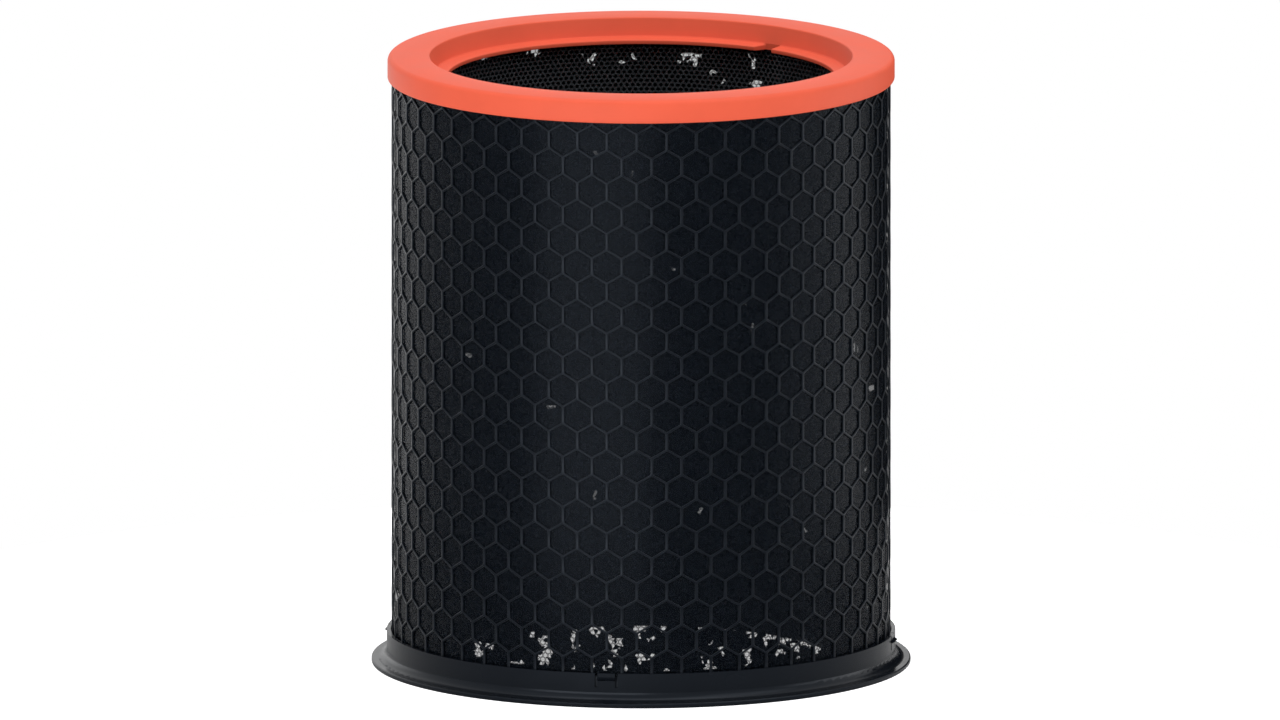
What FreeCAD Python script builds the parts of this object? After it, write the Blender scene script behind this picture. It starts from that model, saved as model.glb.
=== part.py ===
import FreeCAD, Part
import Sketcher
import math
import os

# Air purifier filter: a drum of activated carbon granules, open at both ends, on a flanged base.
# Millimetres, +Z up. The origin is the middle of the base's underside and the front is at -Y.
# An azimuth is counted in degrees from +X towards +Y.

DRIVING_SIZES = {
    # Whole drum
    "overall_height": 250.0,
    "fit_gap": 0.3,
    # Base: a lip round the opening, a wall inside the drum, and a flange with a cove and a collar
    "base_lip_width": 6.6,
    "flange_reach": 6.2,
    "flange_thickness": 1.9,
    "flange_edge_round": 0.5,
    "cove_radius": 3.5,
    "collar_thickness": 1.6,
    "collar_height": 13.2,
    "inner_wall_thickness": 1.6,
    "inner_wall_height": 11.0,
    # Snap tabs: each lies between two slits in the collar and carries a hook
    "tab_count": 4,
    "tab_azimuth": 262.1,
    "tab_width": 7.2,
    "slit_width": 1.1,
    "slit_depth": 5.7,
    "hook_drop": 2.3,
    "hook_height": 1.5,
    "hook_reach": 1.4,
    # Glue that bonds the drum into the base and into the seal
    "bead_thickness": 1.6,
    # Drum, from the inside out
    "inner_mesh_radius": 86.5,
    "inner_mesh_thickness": 0.6,
    "bed_thickness": 13.3,
    "cloth_thickness": 0.4,
    "cloth_gap": 0.1,
    "cage_thickness": 0.6,
    # Windows of the cage: hexagons with two upright sides, in rows that step half a column
    "cage_columns": 26,
    "cage_rows": 11,
    "cage_azimuth": 269.0,
    "rib_width": 1.7,
    "slant_rise": 7.1,
    "top_window_drop": 10.0,
    "bottom_window_level": 5.97,
    # Seal ring: a roof over the drum, a skirt outside, a lining inside and a lip with a notch
    "skirt_height": 9.6,
    "skirt_thickness": 1.3,
    "roof_thickness": 4.0,
    "seal_edge_round": 2.0,
    "lining_top_thickness": 0.2,
    "lining_thickness": 2.1,
    "crease_depth": 7.5,
    "lip_width": 5.4,
    "lip_depth": 8.1,
    "lip_thickness": 1.7,
    "notch_azimuth": 51.1,
    "notch_angle": 6.6,
}

# Sizes that follow from the driving ones, as formulas of the sheet
DERIVED_SIZES = {
    "drum_bottom": "=flange_thickness + bead_thickness",
    "drum_top": "=overall_height - roof_thickness - bead_thickness",
    "bed_inner_radius": "=inner_mesh_radius + inner_mesh_thickness",
    "bed_outer_radius": "=bed_inner_radius + bed_thickness",
    "cloth_outer_radius": "=bed_outer_radius + cloth_thickness",
    "cage_inner_radius": "=cloth_outer_radius + cloth_gap",
    "drum_outer_radius": "=cage_inner_radius + cage_thickness",
    "lining_radius": "=inner_mesh_radius - fit_gap",
    "inner_wall_radius": "=lining_radius - inner_wall_thickness",
    "base_opening_radius": "=inner_wall_radius - base_lip_width",
    "socket_radius": "=drum_outer_radius + fit_gap",
    "collar_radius": "=socket_radius + collar_thickness",
    "flange_radius": "=collar_radius + flange_reach",
    "slit_floor": "=collar_height - slit_depth",
    "slit_ceiling": "=collar_height + fit_gap",
    "slit_inner_radius": "=socket_radius - fit_gap",
    "slit_outer_radius": "=collar_radius + fit_gap",
    "slit_angle": "=slit_width / collar_radius * 180 / pi",
    "tab_angle": "=tab_width / collar_radius * 180 / pi",
    "left_slit_azimuth": "=tab_azimuth - (tab_angle + slit_angle) / 2",
    "right_slit_azimuth": "=tab_azimuth + (tab_angle + slit_angle) / 2",
    "hook_root_radius": "=collar_radius - collar_thickness / 2",
    "hook_tip_radius": "=collar_radius + hook_reach",
    "hook_level": "=collar_height - hook_drop",
    "hook_top": "=hook_level + hook_height / 2",
    "hook_bottom": "=hook_level - hook_height / 2",
    "roof_underside": "=overall_height - roof_thickness",
    "skirt_bottom": "=overall_height - skirt_height",
    "seal_radius": "=socket_radius + skirt_thickness",
    "seal_bore_radius": "=lining_radius - lining_top_thickness",
    "throat_radius": "=lining_radius - lining_thickness",
    "lip_radius": "=throat_radius - lip_width",
    "crease_level": "=overall_height - crease_depth",
    "lip_level": "=overall_height - lip_depth",
    "lip_underside": "=lip_level - lip_thickness",
    "notch_inner_radius": "=lip_radius - fit_gap",
    "notch_floor": "=lip_underside - fit_gap",
    "top_window_peak": "=overall_height - top_window_drop",
    "row_pitch": "=(top_window_peak - bottom_window_level - slant_rise) / cage_rows",
}

SHEET = "Sizes"
GROUND = None
START, END = 1, 2
AXIS_LINE, ORIGIN_POINT = -1, (-1, 1)
FULL_TURN = 360.0
NEARLY = 0.001


def make_sheet(doc):
    """Puts every size in the spreadsheet, each under its own alias."""
    sheet = doc.addObject("Spreadsheet::Sheet", SHEET)
    entries = [(name, str(value)) for name, value in DRIVING_SIZES.items()]
    entries += list(DERIVED_SIZES.items())
    for row, (name, content) in enumerate(entries, start=1):
        sheet.set(f"A{row}", name)
        sheet.setAlias(f"B{row}", name)
        sheet.set(f"B{row}", content)
    doc.recompute()


def size_of(doc, name):
    """Returns the number in the sheet's cell with this alias. The ground's height is 0."""
    return float(doc.getObject(SHEET).get(name)) if name else 0.0


def bind(feature, setting, name, unit=""):
    """Ties one setting of a feature to the sheet's cell with this alias."""
    feature.setExpression(setting, f"{SHEET}.{name}{unit}")


def datum_of(body, role):
    """Returns the plane or axis of the body's own origin that has this role."""
    return next(datum for datum in body.Origin.OriginFeatures if datum.Role == role)


def new_body(doc, label):
    """Adds an empty body. Its label also names its file."""
    body = doc.addObject("PartDesign::Body", label)
    body.Label = label
    return body


def section_sketch(body, name, corners, azimuth=None):
    """Draws a closed, straight-edged section on an upright plane through the drum's axis.

    Each corner is a pair of aliases, its radius and its height. The plane is the one through +X,
    or it is turned to the azimuth with the given alias.
    """
    doc = body.Document
    sketch = body.newObject("Sketcher::SketchObject", name)
    sketch.AttachmentSupport = [(datum_of(body, "XZ_Plane"), "")]
    sketch.MapMode = "FlatFace"
    if azimuth:
        upright = FreeCAD.Vector(0, 1, 0)
        turn = FreeCAD.Rotation(upright, size_of(doc, azimuth))
        sketch.AttachmentOffset = FreeCAD.Placement(FreeCAD.Vector(), turn)
        bind(sketch, "AttachmentOffset.Rotation.Angle", azimuth, " * 1 deg")
    points = [FreeCAD.Vector(size_of(doc, r), size_of(doc, z), 0) for r, z in corners]
    for point, following in zip(points, points[1:] + points[:1]):
        sketch.addGeometry(Part.LineSegment(point, following))
    for edge, (radius, height) in enumerate(corners):
        before = (edge - 1) % len(corners)
        sketch.addConstraint(Sketcher.Constraint("Coincident", before, END, edge, START))
        tie_corner(sketch, edge, "DistanceX", radius)
        if height is GROUND:
            on_ground = Sketcher.Constraint("PointOnObject", edge, START, AXIS_LINE)
            sketch.addConstraint(on_ground)
        else:
            tie_corner(sketch, edge, "DistanceY", height)
    return sketch


def tie_corner(sketch, edge, direction, name):
    """Holds the start of an edge at the size with this alias, measured from the origin."""
    value = size_of(sketch.Document, name)
    rule = Sketcher.Constraint(direction, *ORIGIN_POINT, edge, START, value)
    index = sketch.addConstraint(rule)
    bind(sketch, f"Constraints[{index}]", name)


def turn_section(body, kind, name, sketch, angle=None):
    """Sweeps a section round the drum's axis, all the way or through half the angle each side."""
    feature = body.newObject(f"PartDesign::{kind}", name)
    feature.Profile = sketch
    feature.ReferenceAxis = (sketch, ["V_Axis"])
    feature.Angle = size_of(body.Document, angle) if angle else FULL_TURN
    if angle:
        feature.Midplane = True
        bind(feature, "Angle", angle, " * 1 deg")
    return feature


def round_edges(body, name, size, places):
    """Rounds the whole circular edges that lie at the given radii and heights."""
    doc = body.Document
    doc.recompute()
    base = body.Tip
    wanted = [(size_of(doc, radius), size_of(doc, height)) for radius, height in places]
    edges = []
    for number, edge in enumerate(base.Shape.Edges, start=1):
        if isinstance(edge.Curve, Part.Circle):
            at = (edge.Curve.Radius, edge.Curve.Center.z)
            if any(math.dist(at, place) < NEARLY for place in wanted):
                edges.append(f"Edge{number}")
    fillet = body.newObject("PartDesign::Fillet", name)
    fillet.Base = (base, edges)
    fillet.Radius = size_of(doc, size)
    bind(fillet, "Radius", size)
    return fillet


def make_ring(doc, label, inner, outer, bottom, top):
    """Makes a plain ring between two radii and two heights."""
    body = new_body(doc, label)
    corners = [(inner, bottom), (outer, bottom), (outer, top), (inner, top)]
    section = section_sketch(body, f"{label}_section", corners)
    turn_section(body, "Revolution", f"{label}_turn", section)
    return body


def make_base_ring(doc):
    """Makes the base: flange, cove, collar with snap tabs, and the wall inside the drum."""
    body = new_body(doc, "base_ring")
    corners = [
        ("base_opening_radius", GROUND),
        ("flange_radius", GROUND),
        ("flange_radius", "flange_thickness"),
        ("collar_radius", "flange_thickness"),
        ("collar_radius", "collar_height"),
        ("socket_radius", "collar_height"),
        ("socket_radius", "flange_thickness"),
        ("lining_radius", "flange_thickness"),
        ("lining_radius", "inner_wall_height"),
        ("inner_wall_radius", "inner_wall_height"),
        ("inner_wall_radius", "flange_thickness"),
        ("base_opening_radius", "flange_thickness"),
    ]
    turn_section(body, "Revolution", "base_turn", section_sketch(body, "base_section", corners))
    round_edges(body, "cove", "cove_radius", [("collar_radius", "flange_thickness")])
    rim = [("flange_radius", GROUND), ("flange_radius", "flange_thickness")]
    round_edges(body, "flange_rounds", "flange_edge_round", rim)
    add_snap_tabs(body)
    return body


def add_snap_tabs(body):
    """Cuts two slits for a tab, gives it a hook and repeats all three round the collar."""
    hook_corners = [
        ("hook_root_radius", "hook_bottom"),
        ("collar_radius", "hook_bottom"),
        ("hook_tip_radius", "hook_level"),
        ("collar_radius", "hook_top"),
        ("hook_root_radius", "hook_top"),
    ]
    hook_section = section_sketch(body, "hook_section", hook_corners, "tab_azimuth")
    features = [turn_section(body, "Revolution", "hook", hook_section, "tab_angle")]
    slit_corners = [
        ("slit_inner_radius", "slit_floor"),
        ("slit_outer_radius", "slit_floor"),
        ("slit_outer_radius", "slit_ceiling"),
        ("slit_inner_radius", "slit_ceiling"),
    ]
    for side in ("left", "right"):
        azimuth = f"{side}_slit_azimuth"
        slit_section = section_sketch(body, f"{side}_slit_section", slit_corners, azimuth)
        features.append(turn_section(body, "Groove", f"{side}_slit", slit_section, "slit_angle"))
    body.Document.recompute()
    tabs = body.newObject("PartDesign::PolarPattern", "tabs")
    tabs.Originals = features
    tabs.Axis = (datum_of(body, "Z_Axis"), [""])
    tabs.Angle = FULL_TURN
    tabs.Occurrences = int(size_of(body.Document, "tab_count"))
    bind(tabs, "Occurrences", "tab_count")
    body.Tip = tabs


def make_seal_ring(doc):
    """Makes the soft seal: it covers the drum's top and its lip is cut away at one notch."""
    body = new_body(doc, "seal_ring")
    corners = [
        ("seal_bore_radius", "overall_height"),
        ("seal_radius", "overall_height"),
        ("seal_radius", "skirt_bottom"),
        ("socket_radius", "skirt_bottom"),
        ("socket_radius", "roof_underside"),
        ("lining_radius", "roof_underside"),
        ("lining_radius", "lip_underside"),
        ("lip_radius", "lip_underside"),
        ("lip_radius", "lip_level"),
        ("throat_radius", "crease_level"),
    ]
    turn_section(body, "Revolution", "seal_turn", section_sketch(body, "seal_section", corners))
    round_edges(body, "seal_round", "seal_edge_round", [("seal_radius", "overall_height")])
    notch_corners = [
        ("notch_inner_radius", "notch_floor"),
        ("throat_radius", "notch_floor"),
        ("throat_radius", "crease_level"),
        ("notch_inner_radius", "crease_level"),
    ]
    notch_section = section_sketch(body, "notch_section", notch_corners, "notch_azimuth")
    turn_section(body, "Groove", "notch", notch_section, "notch_angle")
    return body


def prism_ring(sides, radius, bottom, top, azimuth):
    """Returns an upright prism on a regular polygon, with one corner at the azimuth."""
    corners = []
    for side in range(sides + 1):
        angle = math.radians(azimuth + FULL_TURN * side / sides)
        corners.append(FreeCAD.Vector(radius * math.cos(angle), radius * math.sin(angle), bottom))
    return Part.Face(Part.makePolygon(corners)).extrude(FreeCAD.Vector(0, 0, top - bottom))


def window_cutter(half_width, half_side, rise, rib, near, far):
    """Returns one hexagonal bar along +X, as large as the window between ribs of this width.

    The hexagon's centre lines have upright sides of twice half_side and slants of this rise.
    """
    slant_shift = rib / 2 * math.hypot(half_width, rise) / half_width
    peak = half_side + rise - slant_shift
    shoulder_y = half_width - rib / 2
    shoulder_z = peak - rise * shoulder_y / half_width
    outline = [(0, peak), (shoulder_y, shoulder_z), (shoulder_y, -shoulder_z),
               (0, -peak), (-shoulder_y, -shoulder_z), (-shoulder_y, shoulder_z), (0, peak)]
    wire = Part.makePolygon([FreeCAD.Vector(near, y, z) for y, z in outline])
    return Part.Face(wire).extrude(FreeCAD.Vector(far - near, 0, 0))


def make_honeycomb_cage(doc):
    """Makes the moulded cage round the drum, with a flat facet to each half window."""
    get = {name: size_of(doc, name) for name in (*DRIVING_SIZES, *DERIVED_SIZES)}
    columns, rows = int(get["cage_columns"]), int(get["cage_rows"])
    half_column = FULL_TURN / columns / 2
    facet_bulge = 1 / math.cos(math.radians(half_column / 2))
    inner_radius = get["cage_inner_radius"] * facet_bulge
    ends = (get["drum_bottom"], get["drum_top"], get["cage_azimuth"])
    outer = prism_ring(2 * columns, get["drum_outer_radius"], *ends)
    tube = outer.cut(prism_ring(2 * columns, inner_radius, *ends))
    half_side = (get["row_pitch"] - get["slant_rise"]) / 2
    cutter = window_cutter(
        half_width=get["drum_outer_radius"] * math.sin(math.radians(half_column)),
        half_side=half_side,
        rise=get["slant_rise"],
        rib=get["rib_width"],
        near=get["bed_outer_radius"] * math.cos(math.radians(half_column)),
        far=get["socket_radius"],
    )
    top_centre = get["top_window_peak"] - half_side - get["slant_rise"]
    windows = []
    for row in range(rows):
        step = half_column * (1 + row % 2)
        centre = FreeCAD.Vector(0, 0, top_centre - row * get["row_pitch"])
        for column in range(columns):
            azimuth = get["cage_azimuth"] + step + FULL_TURN * column / columns
            turn = FreeCAD.Rotation(FreeCAD.Vector(0, 0, 1), azimuth)
            window = cutter.copy()
            window.Placement = FreeCAD.Placement(centre, turn)
            windows.append(window)
    cage = doc.addObject("Part::Feature", "honeycomb_cage")
    cage.Label = "honeycomb_cage"
    cage.Shape = tube.cut(windows)
    return cage


def check_and_export(doc, pieces):
    """Stops if an object failed or a piece isn't one valid solid, then writes the STEP files."""
    for item in doc.Objects:
        if "Invalid" in item.State or "Error" in item.State:
            raise RuntimeError(f"{item.Label} failed: {item.State}")
    os.makedirs("parts", exist_ok=True)
    for piece in pieces:
        shape = piece.Shape
        if shape.isNull() or not shape.isValid() or len(shape.Solids) != 1:
            raise RuntimeError(f"{piece.Label} is not one valid solid")
        print(f"{piece.Label}: {shape.Volume / 1000:.2f} cm3, {len(shape.Faces)} faces")
    for piece in pieces:
        piece.Shape.exportStep(f"parts/{piece.Label}.step")


def main():
    """Builds the filter from the bottom up and from the inside out."""
    doc = FreeCAD.newDocument("air_purifier_filter")
    make_sheet(doc)
    drum = ("drum_bottom", "drum_top")
    bead = ("lining_radius", "socket_radius")
    pieces = [
        make_base_ring(doc),
        make_ring(doc, "bottom_glue_bead", *bead, "flange_thickness", "drum_bottom"),
        make_ring(doc, "inner_mesh_tube", "inner_mesh_radius", "bed_inner_radius", *drum),
        make_ring(doc, "carbon_bed", "bed_inner_radius", "bed_outer_radius", *drum),
        make_ring(doc, "outer_cloth", "bed_outer_radius", "cloth_outer_radius", *drum),
        make_honeycomb_cage(doc),
        make_ring(doc, "top_glue_bead", *bead, "drum_top", "roof_underside"),
        make_seal_ring(doc),
    ]
    doc.recompute()
    check_and_export(doc, pieces)


main()
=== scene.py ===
"""Dresses the air purifier filter: a drum of carbon granules, a soft seal and a flanged base.

Every piece is worked out in metres in the part's own frame: +Z up along the drum's axis, the
origin in the middle of the base's underside and the front at -Y. An azimuth is an angle about
the drum's axis, counted from +X towards +Y.
"""

from __future__ import annotations

import logging
import math
from dataclasses import dataclass
from enum import Enum

import bpy
import numpy as np
from bpy.types import Material, Node, NodeSocket, NodeTree, Object
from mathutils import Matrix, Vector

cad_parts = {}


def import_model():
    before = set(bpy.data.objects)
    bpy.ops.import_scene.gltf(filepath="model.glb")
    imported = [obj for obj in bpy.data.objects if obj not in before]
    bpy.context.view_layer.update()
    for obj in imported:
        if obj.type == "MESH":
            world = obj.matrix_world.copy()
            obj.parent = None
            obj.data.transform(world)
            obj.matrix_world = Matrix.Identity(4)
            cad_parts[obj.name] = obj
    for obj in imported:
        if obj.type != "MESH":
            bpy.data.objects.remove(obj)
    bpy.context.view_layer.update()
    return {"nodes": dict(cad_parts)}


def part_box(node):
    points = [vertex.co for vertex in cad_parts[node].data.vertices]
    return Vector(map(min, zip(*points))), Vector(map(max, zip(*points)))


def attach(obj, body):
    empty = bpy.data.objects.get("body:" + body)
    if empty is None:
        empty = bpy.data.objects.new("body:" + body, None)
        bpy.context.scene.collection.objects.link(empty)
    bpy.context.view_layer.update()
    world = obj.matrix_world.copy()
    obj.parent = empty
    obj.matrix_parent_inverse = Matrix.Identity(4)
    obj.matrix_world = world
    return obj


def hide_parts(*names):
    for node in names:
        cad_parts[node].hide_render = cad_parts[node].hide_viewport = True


LOG = logging.getLogger("filter")
MM = 0.001
FULL_TURN = 2 * math.pi
FRONT = -FULL_TURN / 4
ROOT = "root"
CLOTH_UV = "unrolled"
COOL_SHINE = "dbe6f5"
WINDOW_CORNERS = 6
DRUM_MIDDLE = 0.125  # where the lamps aim: half the part's height, in metres
ARC_PULL = 0.9  # an arc's control point: below 1 it lies nearer to the corner
ROW_SHARE = 0.87  # the distance between a lattice's rows, as a share of its pitch


def linear(code: str) -> tuple[float, float, float, float]:
    """Turns an sRGB hex colour into the linear colour that shaders use.

    Each channel up to 0.04045 is divided by 12.92. Above that it is raised, after adding 0.055
    and dividing by 1.055, to the power 2.4.

    Args:
        code: six hex digits, such as "f46a50".

    Returns:
        Red, green, blue and an alpha of 1.
    """
    channels = [int(code[at : at + 2], 16) / 255 for at in (0, 2, 4)]
    red, green, blue = (
        c / 12.92 if c <= 0.04045 else ((c + 0.055) / 1.055) ** 2.4 for c in channels
    )
    return red, green, blue, 1.0


def add_node(tree: NodeTree, kind: str, links: dict | None = None, **settings) -> Node:
    """Adds one shader node.

    Args:
        tree: the material's or world's node tree.
        kind: the node's type name without its "ShaderNode" prefix.
        links: for each input, by name or number, the socket or the plain value that feeds it.
        settings: the node's own properties.

    Returns:
        The new node.
    """
    node = tree.nodes.new(f"ShaderNode{kind}")
    for name, value in settings.items():
        setattr(node, name, value)
    for name, source in (links or {}).items():
        if isinstance(source, NodeSocket):
            tree.links.new(source, node.inputs[name])
        else:
            node.inputs[name].default_value = source
    return node


@dataclass(frozen=True)
class Finish:
    """What every finish has: a real name, a colour, a roughness, and a specular level and tint."""

    name: str
    colour: str
    roughness: float
    specular: float = 0.5
    tint: str = "ffffff"

    def material(self) -> Material:
        """Builds the material: what every finish has, and then what this kind adds.

        Returns:
            The finished material.
        """
        material = bpy.data.materials.new(self.name)
        material.use_nodes = True
        tree = material.node_tree
        shader = tree.nodes["Principled BSDF"]
        shader.inputs["Roughness"].default_value = self.roughness
        shader.inputs["Specular IOR Level"].default_value = self.specular
        shader.inputs["Specular Tint"].default_value = linear(self.tint)
        shader.inputs["Base Color"].default_value = linear(self.colour)
        self.dress(tree, shader)
        return material

    def dress(self, tree: NodeTree, shader: Node) -> None:
        """Adds this kind's own nodes to the Principled node. A plain finish has none."""

    @staticmethod
    def noise(tree: NodeTree, place: NodeSocket, size_mm: float, detail: float) -> NodeSocket:
        """Adds cloudy noise.

        Args:
            tree: the material's node tree.
            place: the coordinates.
            size_mm: the size of the largest clouds.
            detail: how many times finer clouds are added.

        Returns:
            The noise, around 0.5.
        """
        links = {"Vector": place, "Scale": 1 / (size_mm * MM), "Detail": detail}
        return add_node(tree, "TexNoise", links).outputs["Fac"]

    @staticmethod
    def emboss(
        tree: NodeTree, shader: Node, height: NodeSocket, depth_mm: float, strength: float
    ) -> None:
        """Bends the surface's normals as a relief of this height would.

        Args:
            tree: the material's node tree.
            shader: its Principled node.
            height: the relief.
            depth_mm: how deep it is.
            strength: how much of it shows.
        """
        links = {"Height": height, "Distance": depth_mm * MM, "Strength": strength}
        bump = add_node(tree, "Bump", links)
        tree.links.new(bump.outputs["Normal"], shader.inputs["Normal"])

    def blend(self, tree: NodeTree, shader: Node, share: NodeSocket, second: str) -> None:
        """Blends the finish's own colour with a second one.

        Args:
            tree: the material's node tree.
            shader: its Principled node.
            share: the second colour's share.
            second: its six hex digits.
        """
        links = {"Factor": share, "A": linear(self.colour), "B": linear(second)}
        shade = add_node(tree, "Mix", links, data_type="RGBA")
        tree.links.new(shade.outputs["Result"], shader.inputs["Base Color"])


@dataclass(frozen=True)
class Moulded(Finish):
    """A moulded plastic or soft foam: an even colour with faint clouds and a fine mould grain.

    Polypropylene from a spark-eroded mould has an even, slightly waxy grain. Soft moulded
    polyurethane has the same look with less gloss.
    """

    cloud_mm: float = 18.0
    cloud_depth: float = 0.05
    cloud_detail: float = 3.0
    cloud_stops: tuple[float, float] = (0.3, 0.7)
    grain_mm: float = 0.5
    grain_height_mm: float = 0.02
    grain_detail: float = 2.0
    roughness_spread: float = 0.06
    cover: float = 1.0

    def dress(self, tree: NodeTree, shader: Node) -> None:
        """Adds the clouds, in colour and gloss, and the grain."""
        place = add_node(tree, "TexCoord").outputs["Object"]
        clouds = self.noise(tree, place, self.cloud_mm, self.cloud_detail)
        base = np.array(linear(self.colour)[:3])
        shade = add_node(tree, "ValToRGB", {"Fac": clouds})
        stops = shade.color_ramp.elements
        for stop, depth in zip(stops, (-self.cloud_depth, self.cloud_depth)):
            stop.color = (*np.clip(base * (1 + depth), 0, 1), 1.0)
        stops[0].position, stops[1].position = self.cloud_stops
        tree.links.new(shade.outputs["Color"], shader.inputs["Base Color"])
        grain = self.noise(tree, place, self.grain_mm, self.grain_detail)
        least, most = self.roughness - self.roughness_spread, self.roughness + self.roughness_spread
        gloss = add_node(tree, "MapRange", {"Value": clouds, "To Min": least, "To Max": most})
        tree.links.new(gloss.outputs["Result"], shader.inputs["Roughness"])
        self.emboss(tree, shader, grain, self.grain_height_mm, 1.0)
        shader.inputs["Alpha"].default_value = self.cover


@dataclass(frozen=True)
class CrushedCarbon(Finish):
    """Activated carbon: crushed, steam-treated grains, matt black with a pitted surface.

    The eye sees dark facets with a faint graphite glint and a dusting of grey.
    """

    pit_mm: float = 0.35
    pit_depth_mm: float = 0.1
    pit_strength: float = 0.8
    dust: str = "090a0c"
    dust_share: float = 0.3
    dust_mm: float = 3.0
    dust_detail: float = 4.0
    dust_levels: tuple[float, float] = (0.45, 0.75)

    def dress(self, tree: NodeTree, shader: Node) -> None:
        """Adds the pits and the patches of dust."""
        place = add_node(tree, "TexCoord").outputs["Object"]
        links = {"Vector": place, "Scale": 1 / (self.pit_mm * MM)}
        pits = add_node(tree, "TexVoronoi", links).outputs["Distance"]
        patches = self.noise(tree, place, self.dust_mm, self.dust_detail)
        clean, dusty = self.dust_levels
        links = {"Value": patches, "From Min": clean, "From Max": dusty, "To Max": self.dust_share}
        share = add_node(tree, "MapRange", links).outputs["Result"]
        self.blend(tree, shader, share, self.dust)
        self.emboss(tree, shader, pits, self.pit_depth_mm, self.pit_strength)


@dataclass(frozen=True)
class WovenNylon(Finish):
    """A fine nylon screen cloth: plain weave, dark and half open, with a slight gloss.

    The real threads are about 0.3 mm apart. They are drawn 0.9 mm apart, because finer ones
    would not show.
    """

    thread_pitch_mm: float = 0.9
    least_cover: float = 0.42
    thread_cover: float = 0.66
    # The crests' colour, lighter than the cloth's own: a painted sheen where the threads rise.
    crest: str = "12171e"
    relief_mm: float = 0.008
    relief_strength: float = 0.6

    def dress(self, tree: NodeTree, shader: Node) -> None:
        """Adds the weave, which follows the azimuth and the height, and paints a sheen on the
        threads' crests.
        """
        place = add_node(tree, "UVMap", uv_map=CLOTH_UV).outputs["UV"]
        across = add_node(tree, "SeparateXYZ", {"Vector": place})
        threads = []
        for axis in ("X", "Y"):
            turn = add_node(
                tree,
                "Math",
                {0: across.outputs[axis], 1: FULL_TURN / (self.thread_pitch_mm * MM)},
                operation="MULTIPLY",
            ).outputs["Value"]
            threads.append(add_node(tree, "Math", {0: turn}, operation="SINE").outputs["Value"])
        both = dict(enumerate(threads))
        weave = add_node(tree, "Math", both, operation="MAXIMUM").outputs["Value"]
        heights = {"Value": weave, "From Min": -1.0}
        covers = {"To Min": self.least_cover, "To Max": self.thread_cover}
        cover = add_node(tree, "MapRange", heights | covers)
        tree.links.new(cover.outputs["Result"], shader.inputs["Alpha"])
        painted_crest_sheen = add_node(tree, "MapRange", heights).outputs["Result"]
        # Lightens the cloth where the threads rise: a painted sheen on the crests, not the thread's
        # own colour.
        self.blend(tree, shader, painted_crest_sheen, self.crest)
        self.emboss(tree, shader, weave, self.relief_mm, self.relief_strength)


# Each finish: its name, colour, roughness, specular level and, on the black plastics, tint.
SEAL_FOAM = Moulded(
    "soft_moulded_polyurethane", "f16448", 0.5, 0.15, grain_mm=0.7, cloud_depth=0.03
)
BASE_PLASTIC = Moulded(
    "moulded_abs_black", "0b0f15", 0.25, 0.18, COOL_SHINE, grain_height_mm=0.006
)
CAGE_PLASTIC = Moulded(
    "moulded_polypropylene_black", "0b0f15", 0.32, 0.185, COOL_SHINE, grain_height_mm=0.01
)
MESH_PLASTIC = Moulded(
    "extruded_polypropylene_net", "595c61", 0.45, 0.1, grain_height_mm=0.005, cover=0.6
)
GLUE = Moulded("hot_melt_glue", "c9c4b4", 0.3, 0.5, cloud_depth=0.08)
CARBON = CrushedCarbon("crushed_activated_carbon", "030404", 0.85, 0.0)
CLOTH = WovenNylon("woven_nylon_screen", "03060b", 0.3, 0.075, COOL_SHINE)


def make_mesh(
    name: str,
    points: np.ndarray,
    faces: list[np.ndarray],
    material: Material,
    smooth: bool | np.ndarray = True,
) -> Object:
    """Makes one mesh object at the origin from whole arrays.

    Args:
        name: the object's name.
        points: vertex places in metres, one row each.
        faces: arrays of vertex numbers, one row per face, each array with its own corner count.
        material: the finish of every face.
        smooth: whether faces are shaded smooth, for all or one by one.

    Returns:
        The new object, already in the scene.
    """
    mesh = bpy.data.meshes.new(name)
    sizes = np.concatenate([np.full(len(block), block.shape[1]) for block in faces])
    corners = np.concatenate([block.ravel() for block in faces]).astype(np.int32)
    starts = np.concatenate([[0], np.cumsum(sizes)[:-1]]).astype(np.int32)
    mesh.vertices.add(len(points))
    mesh.vertices.foreach_set("co", np.ascontiguousarray(points, np.float32).ravel())
    mesh.loops.add(len(corners))
    mesh.loops.foreach_set("vertex_index", corners)
    mesh.polygons.add(len(sizes))
    mesh.polygons.foreach_set("loop_start", starts)
    mesh.polygons.foreach_set("loop_total", sizes.astype(np.int32))
    mesh.polygons.foreach_set("use_smooth", np.broadcast_to(smooth, len(sizes)).astype(bool))
    mesh.update(calc_edges=True)
    mesh.validate()
    mesh.materials.append(material)
    piece = bpy.data.objects.new(name, mesh)
    bpy.context.scene.collection.objects.link(piece)
    return piece


def on_drum(radius: np.ndarray, azimuth: np.ndarray, height: np.ndarray) -> np.ndarray:
    """Turns radius, azimuth and height into x, y and z.

    x is the radius times the cosine of the azimuth, y the radius times its sine.

    Args:
        radius: in metres.
        azimuth: in radians.
        height: in metres.

    Returns:
        An array with a last axis of three.
    """
    radius, azimuth, height = np.broadcast_arrays(radius, azimuth, height)
    return np.stack([radius * np.cos(azimuth), radius * np.sin(azimuth), height], axis=-1)


def faces_of(*corners: np.ndarray) -> np.ndarray:
    """Joins arrays of vertex numbers, one for each corner, into faces, one row each."""
    return np.stack(corners, axis=-1).reshape(-1, len(corners))


def ring_quads(turns: int, along: int, spans: int) -> np.ndarray:
    """Returns the quads of a ring of sections.

    A vertex's number is its azimuth's number times the points of a section, plus its place in
    the section. Each quad runs from one azimuth to the next.

    Args:
        turns: how many azimuths there are.
        along: how many points each section has.
        spans: how many quads each section has, one less than points if it is open.

    Returns:
        Vertex numbers, four for each face.
    """
    turn, step = np.indices((turns, spans))
    next_turn, next_step = (turn + 1) % turns, (step + 1) % along
    here, onward = turn * along, next_turn * along
    return faces_of(here + step, onward + step, onward + next_step, here + next_step)


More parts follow.
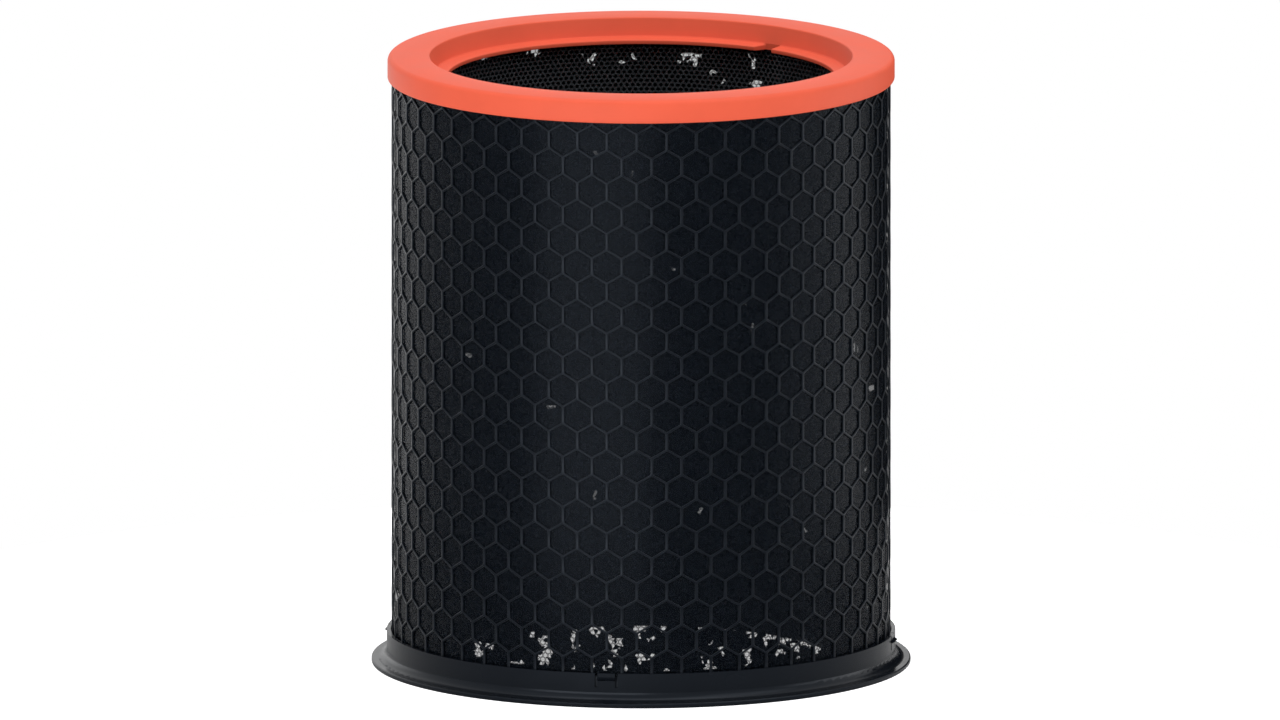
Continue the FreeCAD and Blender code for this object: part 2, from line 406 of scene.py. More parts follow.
def rounded_outline(corners: list[tuple[float, float, float]], steps: int = 6) -> np.ndarray:
    """Rounds the corners of a closed outline.

    Each corner gives its place and the radius of its arc. The arc touches both edges at a
    distance from the corner of the radius over the tangent of half the opening. Its points are
    spread along a quadratic curve from one touching point to the other. The curve's control
    point lies between the corner and the middle of the two touching points.

    Args:
        corners: across, up and radius, in the order of the outline.
        steps: how many spans each arc has.

    Returns:
        The outline's points, one row each.
    """
    places = np.array([corner[:2] for corner in corners], float)
    blend = np.linspace(0, 1, steps + 1)[:, None]
    points = []
    for number, (_, _, radius) in enumerate(corners):
        here, before = places[number], places[number - 1]
        after = places[(number + 1) % len(places)]
        back = (before - here) / np.linalg.norm(before - here)
        onward = (after - here) / np.linalg.norm(after - here)
        half_opening = math.acos(np.clip(back @ onward, -1, 1)) / 2
        reach = radius / math.tan(half_opening)
        start, end = here + back * reach, here + onward * reach
        pull = here + (start + end - 2 * here) / 2 * (1 - math.sin(half_opening)) * ARC_PULL
        points.append((1 - blend) ** 2 * start + 2 * blend * (1 - blend) * pull + blend**2 * end)
    return np.concatenate(points)


@dataclass
class SealRing:
    """The soft moulded seal on the drum's top: roof, skirt, lining, and a lip with one notch."""

    bore_mm: float = 86.0
    throat_mm: float = 84.1
    crease_depth_mm: float = 7.5
    lip_mm: float = 78.7
    lip_depth_mm: float = 8.1
    roof_mm: float = 4.0
    skirt_mm: float = 1.3
    skirt_height_mm: float = 9.6
    lining_mm: float = 86.2
    edge_round_mm: float = 2.0
    skirt_round_mm: float = 0.9
    bore_round_mm: float = 0.7
    crease_round_mm: float = 0.9
    lip_round_mm: float = 0.45
    tip_round_mm: float = 0.35
    hidden_round_mm: float = 0.3
    azimuth_steps: int = 540
    notch_degrees: float = 51.1
    notch_width_degrees: float = 6.6
    notch_soft_side_degrees: float = 1.6
    notch_soft_steps: int = 12
    notch_sharp_side_degrees: float = 0.12
    notch_sharp_steps: int = 3

    def section(self) -> np.ndarray:
        """Returns the closed section, as radius and height in metres.

        Returns:
            One row per point, from the lip's tip outwards, up the skirt and down the bore.
        """
        low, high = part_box("seal_ring")
        top, outer, underside = high.z / MM, high.x / MM, low.z / MM
        socket, hidden = outer - self.skirt_mm, self.hidden_round_mm
        corners = [
            (self.lip_mm, underside, self.tip_round_mm),
            (self.lining_mm, underside, hidden),
            (self.lining_mm, top - self.roof_mm, hidden),
            (socket, top - self.roof_mm, hidden),
            (socket, top - self.skirt_height_mm, hidden),
            (outer, top - self.skirt_height_mm, self.skirt_round_mm),
            (outer, top, self.edge_round_mm),
            (self.bore_mm, top, self.bore_round_mm),
            (self.throat_mm, top - self.crease_depth_mm, self.crease_round_mm),
            (self.lip_mm, top - self.lip_depth_mm, self.lip_round_mm),
        ]
        return rounded_outline(corners) * MM

    def notch_share(self, azimuth: np.ndarray) -> np.ndarray:
        """Says how far the lip is cut back at each azimuth, from 0 to 1.

        It is a steep ramp on the near side of the notch times a wide smooth step on its far
        side: the step's ramp, squared, times three less twice the ramp.

        Args:
            azimuth: in radians.

        Returns:
            The share, 1 inside the notch.
        """
        offset = np.degrees(azimuth) - self.notch_degrees
        half = self.notch_width_degrees / 2
        near = np.clip((offset + half) / self.notch_sharp_side_degrees, 0, 1)
        far = np.clip((half - offset) / self.notch_soft_side_degrees, 0, 1)
        return near * far * far * (3 - 2 * far)

    def azimuths(self) -> np.ndarray:
        """Spreads the sections round the axis, closer together at the notch's two sides.

        Returns:
            Their azimuths in radians.
        """
        even = np.linspace(0, 360, self.azimuth_steps, endpoint=False)
        half = self.notch_width_degrees / 2
        near, far = self.notch_degrees - half, self.notch_degrees + half
        sharp = near + np.linspace(0, self.notch_sharp_side_degrees, self.notch_sharp_steps)
        soft = far - np.linspace(0, self.notch_soft_side_degrees, self.notch_soft_steps)
        return np.radians(np.unique(np.round(np.concatenate([even, sharp, soft]), 4)))

    def build(self) -> list[Object]:
        """Builds the ring: the section turned about the axis, its lip cut back in the notch.

        Returns:
            The one piece.
        """
        section, azimuth = self.section(), self.azimuths()
        radius = np.broadcast_to(section[:, 0], (len(azimuth), len(section))).copy()
        throat = self.throat_mm * MM
        share = self.notch_share(azimuth)[:, None]
        inside = np.minimum(radius, throat)
        radius = np.where(radius < throat, inside + (throat - inside) * share, radius)
        points = on_drum(radius, azimuth[:, None], section[:, 1]).reshape(-1, 3)
        faces = ring_quads(len(azimuth), len(section), len(section))
        ring = make_mesh("seal_ring_soft", points, [faces], SEAL_FOAM.material())
        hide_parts("seal_ring")
        return [ring]


class Facing(Enum):
    """The side from which a net is seen: its faces point outwards or towards the axis."""

    OUT = 1
    IN = -1


@dataclass
class HexagonNet:
    """A net of upright hexagons round a drum, with ribs, rounded edges and a back.

    Each row of windows steps half a column sideways. The window's outline is the hexagon of the
    ribs' centre lines, moved in by half a rib. Lengths are in metres, and angles in radians. A
    thickness of 0 leaves out the ribs' sides and backs. No window reaches into the rim, a plain
    band at the top and at the bottom.
    """

    columns: int
    rows: int
    radius: float
    azimuth: float
    top_junction: float
    row_pitch: float
    slant_rise: float
    upright_rib: float
    slant_rib: float
    top: float
    bottom: float
    facing: Facing = Facing.OUT
    thickness: float = 0.0
    bevel: float = 0.0
    rim: float = 0.0

    def window(self, inset: float, radius: float) -> np.ndarray:
        """Returns every window's six corners.

        The peak lies half a side and one rise above the centre, less half the slanted rib's
        width times the slant's length over its breadth. The shoulder lies half an upright rib
        short of half the column. Seen from outside they run counterclockwise from the peak.

        Args:
            inset: how much larger than the ribs' own windows these are, in metres.
            radius: where they lie.

        Returns:
            Places with axes row, column, corner and x, y, z.
        """
        half = FULL_TURN * self.radius / self.columns / 2
        side = (self.row_pitch - self.slant_rise) / 2
        shift = (self.slant_rib / 2 - inset) * math.hypot(half, self.slant_rise) / half
        shoulder = half - self.upright_rib / 2 + inset
        peak = side + self.slant_rise - shift
        ledge = peak - self.slant_rise * shoulder / half
        across = np.array([0, -shoulder, -shoulder, 0, shoulder, shoulder]) / self.radius
        up = np.array([peak, ledge, -ledge, -peak, -ledge, ledge])
        row, column = np.indices((self.rows, self.columns))
        centre = self.azimuth + (column + (1 + row % 2) / 2) * FULL_TURN / self.columns
        level = self.top_junction - side - row * self.row_pitch
        height = np.clip(level[..., None] + up, self.bottom + self.rim, self.top - self.rim)
        return on_drum(radius, centre[..., None] + across, height)

    def numbers(self) -> np.ndarray:
        """Returns each window corner's number, with axes row, column and corner."""
        count = self.rows * self.columns * WINDOW_CORNERS
        return np.arange(count).reshape(self.rows, self.columns, WINDOW_CORNERS)

    def ribs(self, corner: np.ndarray) -> tuple[np.ndarray, np.ndarray]:
        """Joins the windows by ribs and the ribs by small triangles.

        A rib lies between the facing sides of two windows, and a triangle between the nearest
        corners of three.

        Args:
            corner: vertex numbers with axes row, column and corner.

        Returns:
            The ribs' quads and the junctions' triangles.
        """
        beside = np.roll(corner, -1, axis=1)
        uprights = [corner[..., 5], corner[..., 4], beside[..., 2], beside[..., 1]]
        upper, lower = corner[:-1], corner[1:]
        odd = (np.arange(self.rows - 1) % 2 == 1)[:, None, None]
        ahead = np.where(odd, np.roll(lower, -1, axis=1), lower)
        behind = np.where(odd, lower, np.roll(lower, 1, axis=1))
        falling = [upper[..., 4], upper[..., 3], ahead[..., 1], ahead[..., 0]]
        rising = [upper[..., 3], upper[..., 2], behind[..., 0], behind[..., 5]]
        quads = [faces_of(*rib) for rib in (uprights, falling, rising)]
        upper_next = np.roll(upper, -1, axis=1)
        under = [upper[..., 3], behind[..., 5], ahead[..., 1]]
        over = [upper[..., 4], ahead[..., 0], upper_next[..., 2]]
        triangles = [faces_of(*joint) for joint in (under, over)]
        return np.concatenate(quads), np.concatenate(triangles)

    def bands(self, corner: np.ndarray, first: int) -> tuple[np.ndarray, np.ndarray]:
        """Closes the net above its first row and below its last with a plain band.

        Args:
            corner: vertex numbers with axes row, column and corner.
            first: the number of the first vertex of the two rims, which follow each other.

        Returns:
            The bands' quads, and which corners the rim vertices stand above or below.
        """
        upper = corner[0][:, [1, 0, 5]].ravel()
        lower = corner[-1][:, [2, 3, 4]].ravel()
        count = len(upper)
        rim = np.arange(count) + first
        top = [rim, upper, np.roll(upper, -1), np.roll(rim, -1)]
        rim = rim + count
        bottom = [lower, rim, np.roll(rim, -1), np.roll(lower, -1)]
        return np.concatenate([faces_of(*top), faces_of(*bottom)]), np.concatenate([upper, lower])

    def surface(self) -> tuple[np.ndarray, list[np.ndarray], np.ndarray]:
        """Works out the whole net.

        Returns:
            Its points, its faces and which faces are shaded smooth.
        """
        crest = self.window(self.bevel, self.radius).reshape(-1, 3)
        corner = self.numbers()
        count = corner.size
        quads, triangles = self.ribs(corner)
        band, stands = self.bands(corner, count)
        rims = crest[stands].copy()
        half = len(stands) // 2
        rims[:half, 2], rims[half:, 2] = self.top, self.bottom
        layers = [crest, rims]
        faces, rounded = [np.concatenate([quads, band]), triangles], [True, True]
        if self.thickness:
            shoulder = self.window(0, self.radius - self.bevel).reshape(-1, 3)
            back = self.window(0, self.radius - self.thickness).reshape(-1, 3)
            second = count + len(rims)
            third = second + count
            following = np.roll(corner, -1, axis=2)
            slope = faces_of(corner, following, following + second, corner + second)
            wall = faces_of(
                corner + second, following + second, following + third, corner + third
            )
            back_quads, back_triangles = self.ribs(corner + third)
            layers += [shoulder, back]
            faces = [
                np.concatenate([quads, band, slope]),
                np.concatenate([wall, back_quads[:, ::-1]]),
                np.concatenate([triangles, back_triangles[:, ::-1]]),
            ]
            rounded = [True, False, True]
        if self.facing is Facing.IN:
            faces = [block[:, ::-1] for block in faces]
        smooth = np.repeat(rounded, [len(block) for block in faces])
        return np.concatenate(layers), faces, smooth


@dataclass
class HoneycombCage:
    """The moulded cage at its real pitch: 52 windows round the drum in 23 rows.

    The seal's skirt hides the upper part of the first row.
    """

    columns: int = 52
    rows: int = 23
    row_pitch_mm: float = 10.317
    slant_rise_mm: float = 3.55
    top_junction_mm: float = 246.117
    upright_rib_mm: float = 1.2
    slant_rib_mm: float = 0.85
    bevel_mm: float = 0.22
    rim_mm: float = 0.8
    above_cloth_mm: float = 0.1
    azimuth_degrees: float = 265.5385

    def build(self) -> list[Object]:
        """Builds the cage in place of the plainer one.

        Returns:
            The one piece.
        """
        low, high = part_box("honeycomb_cage")
        outer = high.x
        net = HexagonNet(
            columns=self.columns,
            rows=self.rows,
            radius=outer,
            thickness=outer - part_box("outer_cloth")[1].x - self.above_cloth_mm * MM,
            azimuth=math.radians(self.azimuth_degrees),
            top_junction=self.top_junction_mm * MM,
            row_pitch=self.row_pitch_mm * MM,
            slant_rise=self.slant_rise_mm * MM,
            upright_rib=self.upright_rib_mm * MM,
            slant_rib=self.slant_rib_mm * MM,
            bevel=self.bevel_mm * MM,
            top=high.z,
            bottom=low.z,
            rim=self.rim_mm * MM,
        )
        points, faces, smooth = net.surface()
        cage = make_mesh("honeycomb_cage_fine", points, faces, CAGE_PLASTIC.material(), smooth)
        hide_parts("honeycomb_cage")
        return [cage]


@dataclass
class InnerNet:
    """The fine extruded net inside the drum, in two lengths that meet at the middle."""

    columns: int = 236
    rows: int = 68
    radius_mm: float = 86.6
    first_junction_mm: float = 0.4
    row_pitch_mm: float = 1.78
    slant_rise_mm: float = 0.68
    rib_mm: float = 0.72

    def build(self) -> list[Object]:
        """Builds both lengths.

        Returns:
            The lower and the upper length.
        """
        low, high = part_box("inner_mesh_tube")
        middle = (low.z + high.z) / 2
        material = MESH_PLASTIC.material()
        pieces = []
        for name, bottom, top in (("lower", low.z, middle), ("upper", middle, high.z)):
            net = HexagonNet(
                columns=self.columns,
                rows=self.rows,
                radius=self.radius_mm * MM,
                azimuth=FRONT,
                top_junction=top - self.first_junction_mm * MM,
                row_pitch=self.row_pitch_mm * MM,
                slant_rise=self.slant_rise_mm * MM,
                upright_rib=self.rib_mm * MM,
                slant_rib=self.rib_mm * MM,
                top=top,
                bottom=bottom,
                facing=Facing.IN,
            )
            points, faces, smooth = net.surface()
            piece = make_mesh(f"inner_net_{name}", points, faces, material, smooth)
            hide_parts("inner_mesh_tube")
            pieces.append(piece)
        return pieces


@dataclass
class Gaps:
    """The angular gaps through the bed where light shows between the granules.

    Each gap is a short bar in the plane that stands across one of four level directions. It
    runs through the whole drum and falls by the set slope, so that light from beyond it, or
    from below the open base, reaches an eye that looks down by that much. Pairs are the least
    and the greatest value.
    """

    slope_degrees: float = 10.35
    directions: int = 4
    outer_mm: float = 99.3
    inner_mm: float = 88.0
    low_clusters: int = 60
    low_side_mm: float = 74.0
    low_levels_mm: tuple[float, float] = (13.0, 34.0)
    low_most: int = 4
    high_clusters: int = 15
    high_side_mm: float = 78.0
    high_level_mm: float = 241.0
    high_fall_mm: float = 22.0
    high_crowding: float = 1.5
    high_most: int = 3
    lone_gaps: int = 16
    lone_side_mm: float = 97.0
    lone_levels_mm: tuple[float, float] = (20.0, 210.0)
    scatter_mm: float = 1.5
    reach_mm: tuple[float, float] = (0.4, 1.7)
    half_width_mm: tuple[float, float] = (0.4, 1.05)
    seed: int = 5

    def __post_init__(self) -> None:
        """Draws every gap: its two ends, its half width and its direction."""
        random = np.random.default_rng(self.seed)
        self.slope = math.tan(math.radians(self.slope_degrees))
        ends, widths, turns = [], [], []
        for direction in range(self.directions):
            middles, counts = self.clusters(random)
            middle = np.repeat(middles, counts, axis=0)
            middle = middle + random.normal(0, self.scatter_mm, middle.shape)
            angle = random.uniform(0, math.pi, len(middle))
            reach = random.uniform(*self.reach_mm, len(middle))[:, None]
            bar = np.stack([np.cos(angle), np.sin(angle)], axis=-1) * reach
            ends.append(np.stack([middle - bar, middle + bar], axis=1))
            widths.append(random.uniform(*self.half_width_mm, len(middle)))
            turns.append(np.full(len(middle), direction * FULL_TURN / self.directions))
        self.ends, self.widths = np.concatenate(ends), np.concatenate(widths)
        self.turns = np.concatenate(turns)

    def clusters(self, random: np.random.Generator) -> tuple[np.ndarray, np.ndarray]:
        """Spreads clusters over the wall's foot, over its top and, thinly, over all of it.

        A gap at the foot meets the plane of the axis at its height on the wall, less the wall's
        distance in front of that plane times the slope. A gap at the top is seen through the
        bore on the far wall, so that the same is added there.

        Args:
            random: the seeded generator.

        Returns:
            The clusters' places across and up in millimetres, and how many gaps each has.
        """
        sides = (self.low_side_mm, self.high_side_mm, self.lone_side_mm)
        totals = (self.low_clusters, self.high_clusters, self.lone_gaps)
        across = [random.uniform(-side, side, total) for side, total in zip(sides, totals)]
        foot = random.uniform(*self.low_levels_mm, self.low_clusters)
        foot -= np.sqrt(self.outer_mm**2 - across[0] ** 2) * self.slope
        fall = random.uniform(0, 1, self.high_clusters) ** self.high_crowding
        top = self.high_level_mm - self.high_fall_mm * fall
        top += np.sqrt(self.inner_mm**2 - across[1] ** 2) * self.slope
        lone = random.uniform(*self.lone_levels_mm, self.lone_gaps)
        counts = [
            random.integers(1, self.low_most + 1, self.low_clusters),
            random.integers(1, self.high_most + 1, self.high_clusters),
            np.ones(self.lone_gaps, int),
        ]
        middles = np.stack([np.concatenate(across), np.concatenate([foot, top, lone])], axis=-1)
        return middles, np.concatenate(counts)

    def open_at(self, points: np.ndarray, margin: float) -> np.ndarray:
        """Says which points lie in a gap or within the margin of one.

        The distance from a bar is the distance from the nearest point of its middle line.

        Args:
            points: in millimetres, one row each.
            margin: in millimetres.

        Returns:
            One truth value for each point.
        """
        found = np.zeros(len(points), bool)
        for ends, width, turn in zip(self.ends, self.widths, self.turns):
            across = points[:, 0] * math.cos(turn) + points[:, 1] * math.sin(turn)
            depth = points[:, 1] * math.cos(turn) - points[:, 0] * math.sin(turn)
            place = np.stack([across, points[:, 2] + depth * self.slope], axis=-1)
            bar = ends[1] - ends[0]
            along = np.clip((place - ends[0]) @ bar / (bar @ bar), 0, 1)[:, None]
            apart = np.linalg.norm(place - ends[0] - along * bar, axis=1)
            found |= apart < width + margin
        return found


@dataclass
class GranuleLayer:
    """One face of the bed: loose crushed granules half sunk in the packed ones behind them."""

    name: str
    radius_mm: float
    packed_mm: float
    facing: Facing
    seed: int
    gaps: Gaps
    spacing_mm: float = 3.2
    granule_mm: float = 3.4
    granule_half: float = 0.34
    granule_corners: tuple[float, float] = (0.6, 1.0)
    granule_stretch: tuple[float, float] = (0.75, 1.15)
    depth_jitter_mm: float = 0.25
    loose_jitter: float = 0.2
    loose_margin_mm: float = 1.0
    packed_pitch_mm: float = 1.8
    packed_jitter: float = 0.16
    packed_margin_mm: float = 0.1
    clearance_mm: float = 0.1

    def __post_init__(self) -> None:
        """Starts the layer's own random draws."""
        self.random = np.random.default_rng(self.seed)

    def lattice(self, radius_mm: float, pitch: float, jitter: float) -> tuple[np.ndarray, int]:
        """Spreads points over the drum, odd rows moved by half a step and each point at random.

        Args:
            radius_mm: the layer's radius.
            pitch: the distance between neighbours.
            jitter: the spread of the random moves, as a share of the pitch.

        Returns:
            Places with axes row, column and x, y, z, in millimetres, and the number of columns.
        """
        low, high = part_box("carbon_bed")
        bottom, top = low.z / MM, high.z / MM
        columns = round(FULL_TURN * radius_mm / pitch)
        rows = round((top - bottom) / pitch / ROW_SHARE) + 1
        levels = np.linspace(bottom, top, rows)
        level, column = np.meshgrid(levels, np.arange(columns), indexing="ij")
        azimuth = (column + (np.arange(rows) % 2)[:, None] / 2) * FULL_TURN / columns
        azimuth = azimuth + self.random.normal(0, jitter * pitch / radius_mm, azimuth.shape)
        moved = level + self.random.normal(0, jitter * pitch, level.shape)
        moved[0], moved[-1] = level[0], level[-1]
        radius = radius_mm + self.random.uniform(-1, 1, level.shape) * self.depth_jitter_mm
        return on_drum(radius, azimuth, np.clip(moved, bottom, top)), columns

    def packed(self) -> tuple[np.ndarray, np.ndarray]:
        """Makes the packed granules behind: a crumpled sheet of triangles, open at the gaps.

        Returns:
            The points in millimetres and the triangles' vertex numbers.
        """
        points, columns = self.lattice(self.packed_mm, self.packed_pitch_mm, self.packed_jitter)
        row, column = np.indices((len(points) - 1, columns))
        beside = (column + 1) % columns
        odd = row % 2 == 1
        here, right = row * columns + column, row * columns + beside
        above, above_right = here + columns, right + columns
        first = faces_of(here, right, np.where(odd, above_right, above))
        second = faces_of(np.where(odd, here, right), above_right, above)
        triangles = np.concatenate([first, second])
        points = points.reshape(-1, 3)
        centres = points[triangles].mean(axis=1)
        triangles = triangles[~self.gaps.open_at(centres, self.packed_margin_mm)]
        if self.facing is Facing.IN:
            triangles = triangles[:, ::-1]
        return points, triangles

    def grains(self) -> tuple[np.ndarray, np.ndarray]:
        """Makes the loose granules in front.

        A grain is a cube whose corners are moved at random, stretched along its axes and turned
        about a random direction by the rotation matrix of a random unit quaternion.

        Returns:
            The points in millimetres and the triangles' vertex numbers.
        """
        places, _ = self.lattice(self.radius_mm, self.spacing_mm, self.loose_jitter)
        centres = places[1:-1].reshape(-1, 3)
        centres = centres[~self.gaps.open_at(centres, self.loose_margin_mm)]
        count = len(centres)
        signs = np.array([[x, y, z] for x in (-1, 1) for y in (-1, 1) for z in (-1, 1)], float)
        shares = self.random.uniform(*self.granule_corners, (count, 8, 3))
        corners = signs[None] * shares * self.granule_mm * self.granule_half
        corners *= self.random.uniform(*self.granule_stretch, (count, 1, 3))
        turn = self.random.normal(size=(count, 4))
        w, x, y, z = (turn / np.linalg.norm(turn, axis=1, keepdims=True)).T
        matrix = np.array(
            [
                [1 - 2 * (y * y + z * z), 2 * (x * y - z * w), 2 * (x * z + y * w)],
                [2 * (x * y + z * w), 1 - 2 * (x * x + z * z), 2 * (y * z - x * w)],
                [2 * (x * z - y * w), 2 * (y * z + x * w), 1 - 2 * (x * x + y * y)],
            ]
        )
        points = np.einsum("ijn,nkj->nki", matrix, corners) + centres[:, None]
        quads = np.array(
            [[0, 1, 3, 2], [4, 6, 7, 5], [0, 4, 5, 1], [2, 3, 7, 6], [0, 2, 6, 4], [1, 5, 7, 3]]
        )
        triangles = np.concatenate([quads[:, [0, 1, 2]], quads[:, [0, 2, 3]]])
        numbers = triangles[None] + 8 * np.arange(count)[:, None, None]
        return self.kept_in(points.reshape(-1, 3)), numbers.reshape(-1, 3)

    def kept_in(self, points: np.ndarray) -> np.ndarray:
        """Holds every point inside the bed: its radius and its height are clipped to the bed's.

        Args:
            points: in millimetres, one row each.

        Returns:
            The points, moved straight in where they stood out.
        """
        low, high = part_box("carbon_bed")
        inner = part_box("inner_mesh_tube")[1].x / MM
        radius = np.linalg.norm(points[:, :2], axis=1)
        clear = self.clearance_mm
        held = np.clip(radius, inner + clear, high.x / MM - clear)
        level = np.clip(points[:, 2], low.z / MM + clear, high.z / MM - clear)
        return np.concatenate([points[:, :2] * (held / radius)[:, None], level[:, None]], axis=1)

    def build(self, material: Material) -> list[Object]:
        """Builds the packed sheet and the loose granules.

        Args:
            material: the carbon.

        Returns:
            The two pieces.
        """
        pieces = []
        for part, maker in (("packed", self.packed), ("loose", self.grains)):
            points, triangles = maker()
            name = f"granules_{self.name}_{part}"
            piece = make_mesh(name, points * MM, [triangles], material, False)
            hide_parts("carbon_bed")
            pieces.append(piece)
        return pieces


@dataclass
class CarbonBed:
    """The granule bed between the inner net and the cloth, seen from both sides."""

    loose_depth_mm: float = 1.5
    packed_depth_mm: float = 2.2
    outer_seed: int = 11
    inner_seed: int = 12

    def build(self) -> list[Object]:
        """Builds both faces of the bed, with the same gaps through them.

        Returns:
            The four pieces.
        """
        gaps, material = Gaps(), CARBON.material()
        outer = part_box("carbon_bed")[1].x / MM
        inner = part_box("inner_mesh_tube")[1].x / MM
        loose, packed = self.loose_depth_mm, self.packed_depth_mm
        sides = [
            ("outer", outer - loose, outer - packed, Facing.OUT, self.outer_seed),
            ("inner", inner + loose, inner + packed, Facing.IN, self.inner_seed),
        ]
        return [piece for side in sides for piece in GranuleLayer(*side, gaps).build(material)]


@dataclass
class OuterCloth:
    """The woven sleeve round the granules, drawn tight inside the cage."""

    azimuth_steps: int = 360
    height_steps: int = 24
    inset_mm: float = 0.1

    def build(self) -> list[Object]:
        """Builds the sleeve as a tube of single faces, with the unrolled cloth as its UV map.

        Returns:
            The one piece.
        """
        low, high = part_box("outer_cloth")
        radius = high.x - self.inset_mm * MM
        azimuth = np.linspace(0, FULL_TURN, self.azimuth_steps + 1)
        height = np.linspace(low.z, high.z, self.height_steps + 1)
        grid = on_drum(radius, azimuth[:-1, None], height)
        faces = ring_quads(self.azimuth_steps, len(height), self.height_steps)
        sleeve = make_mesh("outer_cloth_sleeve", grid.reshape(-1, 3), [faces], CLOTH.material())
        turn, step = np.indices((self.azimuth_steps, self.height_steps))
        corners = [
            np.stack([azimuth[turn + onward] * radius, height[step + upward]], axis=-1)
            for onward, upward in ((0, 0), (1, 0), (1, 1), (0, 1))
        ]
        layer = sleeve.data.uv_layers.new(name=CLOTH_UV)
        layer.data.foreach_set("uv", np.stack(corners, axis=2).astype(np.float32).ravel())
        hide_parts("outer_cloth")
        return [sleeve]


@dataclass
class PlainParts:
    """The solids that keep their own form and only get a finish."""

    def build(self, nodes: dict) -> list[Object]:
        """Puts the finishes on the base and the two glue beads.

        Args:
            nodes: the frame's solids by name.

        Returns:
            The dressed solids.
        """
        glue = GLUE.material()
        finishes = {
            "base_ring": BASE_PLASTIC.material(),
            "bottom_glue_bead": glue,
            "top_glue_bead": glue,
        }
        for name, material in finishes.items():
            nodes[name].data.materials.clear()
            nodes[name].data.materials.append(material)
        return [nodes[name] for name in finishes]


@dataclass(frozen=True)
class Softbox:
    """A soft studio lamp that faces the drum's middle. Lengths are in metres, power in watts."""

    name: str
    azimuth_degrees: float
    elevation_degrees: float
    distance: float
    width: float
    height: float
    power: float

    def build(self) -> None:
        """Adds the lamp, turned so that its back is away from the drum."""
        lamp = bpy.data.lights.new(self.name, "AREA")
        lamp.shape = "RECTANGLE"
        lamp.size, lamp.size_y, lamp.energy = self.width, self.height, self.power
        holder = bpy.data.objects.new(self.name, lamp)
        azimuth, rise = math.radians(self.azimuth_degrees), math.radians(self.elevation_degrees)
        away = np.array(
            [math.cos(azimuth) * math.cos(rise), math.sin(azimuth) * math.cos(rise), math.sin(rise)]
        )
        holder.location = away * self.distance + np.array([0, 0, DRUM_MIDDLE])
        holder.rotation_euler = (math.pi / 2 - rise, 0, azimuth + math.pi / 2)
        holder.visible_camera = False
        bpy.context.scene.collection.objects.link(holder)


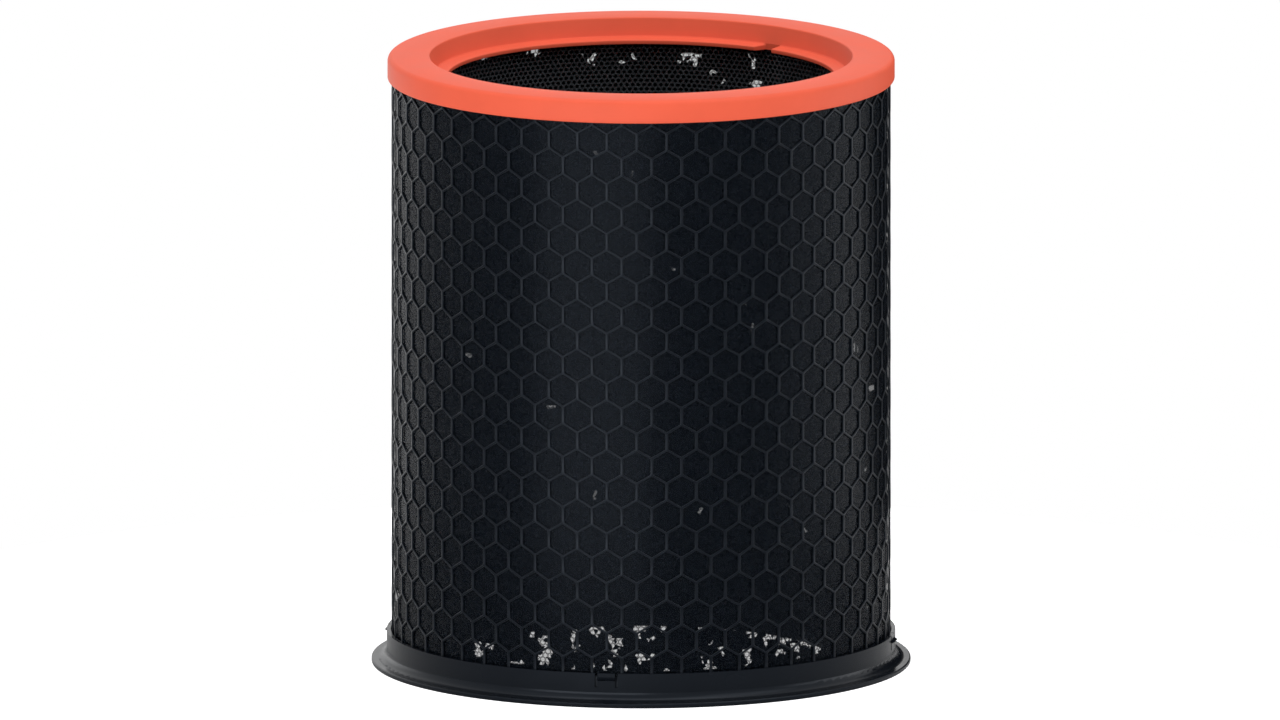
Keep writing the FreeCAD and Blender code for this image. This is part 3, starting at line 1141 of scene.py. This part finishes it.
@dataclass
class Studio:
    """A pale floor, a white surround, soft lamps, a black panel and the photograph's camera."""

    elevation_degrees: float = 10.35
    camera_distance: float = 2.0
    frame_width_mm: float = 520.3
    centre_height_mm: float = 124.1
    axis_shift_mm: float = 0.45
    floor_radius: float = 0.36
    floor_sides: int = 64
    floor_paint: str = "f4f4f4"
    floor_glow: float = 0.85
    fill: float = 0.45
    flag_azimuth_degrees: float = 58.0
    flag_half_degrees: float = 22.0
    flag_distance: float = 0.7
    flag_foot: float = -0.3
    flag_head: float = 0.4

    def seen_share(
        self,
        tree: NodeTree,
        otherwise: float,
        seen: float,
        kinds: tuple[str, ...] = ("Is Glossy Ray", "Is Transmission Ray"),
    ) -> NodeSocket:
        """Adds nodes that give one strength to rays that see the background and one to the rest.

        Camera rays and the named kinds see it: their greatest share picks the strength.

        Args:
            tree: the material's or world's node tree.
            otherwise: the strength for all other rays.
            seen: the strength for the rays that see it.
            kinds: the kinds of ray that see it, besides the camera's.

        Returns:
            The socket with the strength.
        """
        path = add_node(tree, "LightPath")
        share = path.outputs["Is Camera Ray"]
        for kind in kinds:
            share = add_node(
                tree, "Math", {0: share, 1: path.outputs[kind]}, operation="MAXIMUM"
            ).outputs["Value"]
        return add_node(
            tree, "MapRange", {"Value": share, "To Min": otherwise, "To Max": seen}
        ).outputs["Result"]

    def floor(self) -> None:
        """Lays the floor: a disc that the camera sees as white, with the drum's soft shadow."""
        azimuth = np.linspace(0, FULL_TURN, self.floor_sides, endpoint=False)
        rim = on_drum(self.floor_radius, azimuth, 0)
        material = bpy.data.materials.new("studio_floor")
        material.use_nodes = True
        tree = material.node_tree
        tree.nodes.clear()
        glow_strength = self.seen_share(tree, 0.0, self.floor_glow, ("Is Transmission Ray",))
        paint = add_node(tree, "BsdfDiffuse", {"Color": linear(self.floor_paint)})
        glow = add_node(tree, "Emission", {"Color": (1, 1, 1, 1), "Strength": glow_strength})
        both = add_node(tree, "AddShader", {0: paint.outputs["BSDF"], 1: glow.outputs["Emission"]})
        add_node(tree, "OutputMaterial", {"Surface": both.outputs["Shader"]})
        disc = make_mesh("studio_floor", rim, [np.arange(len(rim))[None]], material, False)

    def world(self) -> None:
        """Sets the surround: white to the camera and in reflections, and dim as a light."""
        world = bpy.data.worlds.new("studio")
        bpy.context.scene.world = world
        world.use_nodes = True
        tree = world.node_tree
        tree.nodes.clear()
        strength = self.seen_share(tree, self.fill, 1.0)
        surround = add_node(tree, "Background", {"Color": (1, 1, 1, 1), "Strength": strength})
        add_node(tree, "OutputWorld", {"Surface": surround.outputs["Background"]})

    def flag(self) -> None:
        """Stands a black panel behind the drum's right side, whose edge mirrors it."""
        material = Finish("studio_black_velvet", "020202", 1.0, 0.0).material()
        sides = np.array([-1, 1]) * self.flag_half_degrees
        azimuth = np.radians(self.flag_azimuth_degrees + sides)
        levels = (self.flag_foot, self.flag_head)
        foot, head = (on_drum(self.flag_distance, azimuth, level) for level in levels)
        corners = np.concatenate([foot, head[::-1]])
        panel = make_mesh("studio_flag", corners, [np.arange(4)[None]], material, False)
        panel.visible_camera = False

    def camera(self) -> None:
        """Aims a camera without perspective at the drum, as the photograph is a parallel view."""
        lens = bpy.data.cameras.new("camera")
        lens.type, lens.ortho_scale = "ORTHO", self.frame_width_mm * MM
        holder = bpy.data.objects.new("camera", lens)
        rise = math.radians(self.elevation_degrees)
        holder.location = (
            -self.axis_shift_mm * MM,
            -math.cos(rise) * self.camera_distance,
            self.centre_height_mm * MM + math.sin(rise) * self.camera_distance,
        )
        holder.rotation_euler = (math.pi / 2 - rise, 0, 0)
        bpy.context.scene.collection.objects.link(holder)
        bpy.context.scene.camera = holder

    def lamps(self) -> None:
        """Hangs the lamps: three high ones for the colours, and three low ones to be mirrored."""
        for lamp in (  # name, azimuth, elevation, distance, width, height, power
            Softbox("overhead", -90, 89, 1.6, 1.5, 1.5, 12.0),
            Softbox("high_left", -135, 45, 1.6, 1.0, 1.0, 1.2),
            Softbox("high_right", -35, 45, 1.6, 1.0, 1.0, 3.8),
            Softbox("low_front", -112, -5, 1.2, 1.1, 0.56, 6.8),
            Softbox("low_right", 4, -5, 1.2, 1.1, 0.56, 3.0),
            Softbox("low_left", 135, -5, 1.2, 0.8, 0.56, 0.7),
        ):
            lamp.build()

    def build(self) -> None:
        """Sets the whole stage."""
        bpy.context.scene.view_settings.view_transform = "Standard"
        self.floor()
        self.flag()
        self.world()
        self.camera()
        self.lamps()


def main() -> None:
    """Loads the frame, builds every piece in order and sets the stage."""
    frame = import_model()
    pieces = PlainParts().build(frame["nodes"])
    for maker in (SealRing(), HoneycombCage(), InnerNet(), CarbonBed(), OuterCloth()):
        made = maker.build()
        for piece in made:
            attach(piece, ROOT)
            LOG.info("%s: %d faces", piece.name, len(piece.data.polygons))
        pieces += made
    Studio().build()
    LOG.info("%d pieces", len(pieces))


if __name__ == "__main__":
    logging.basicConfig(level=logging.INFO)
    main()
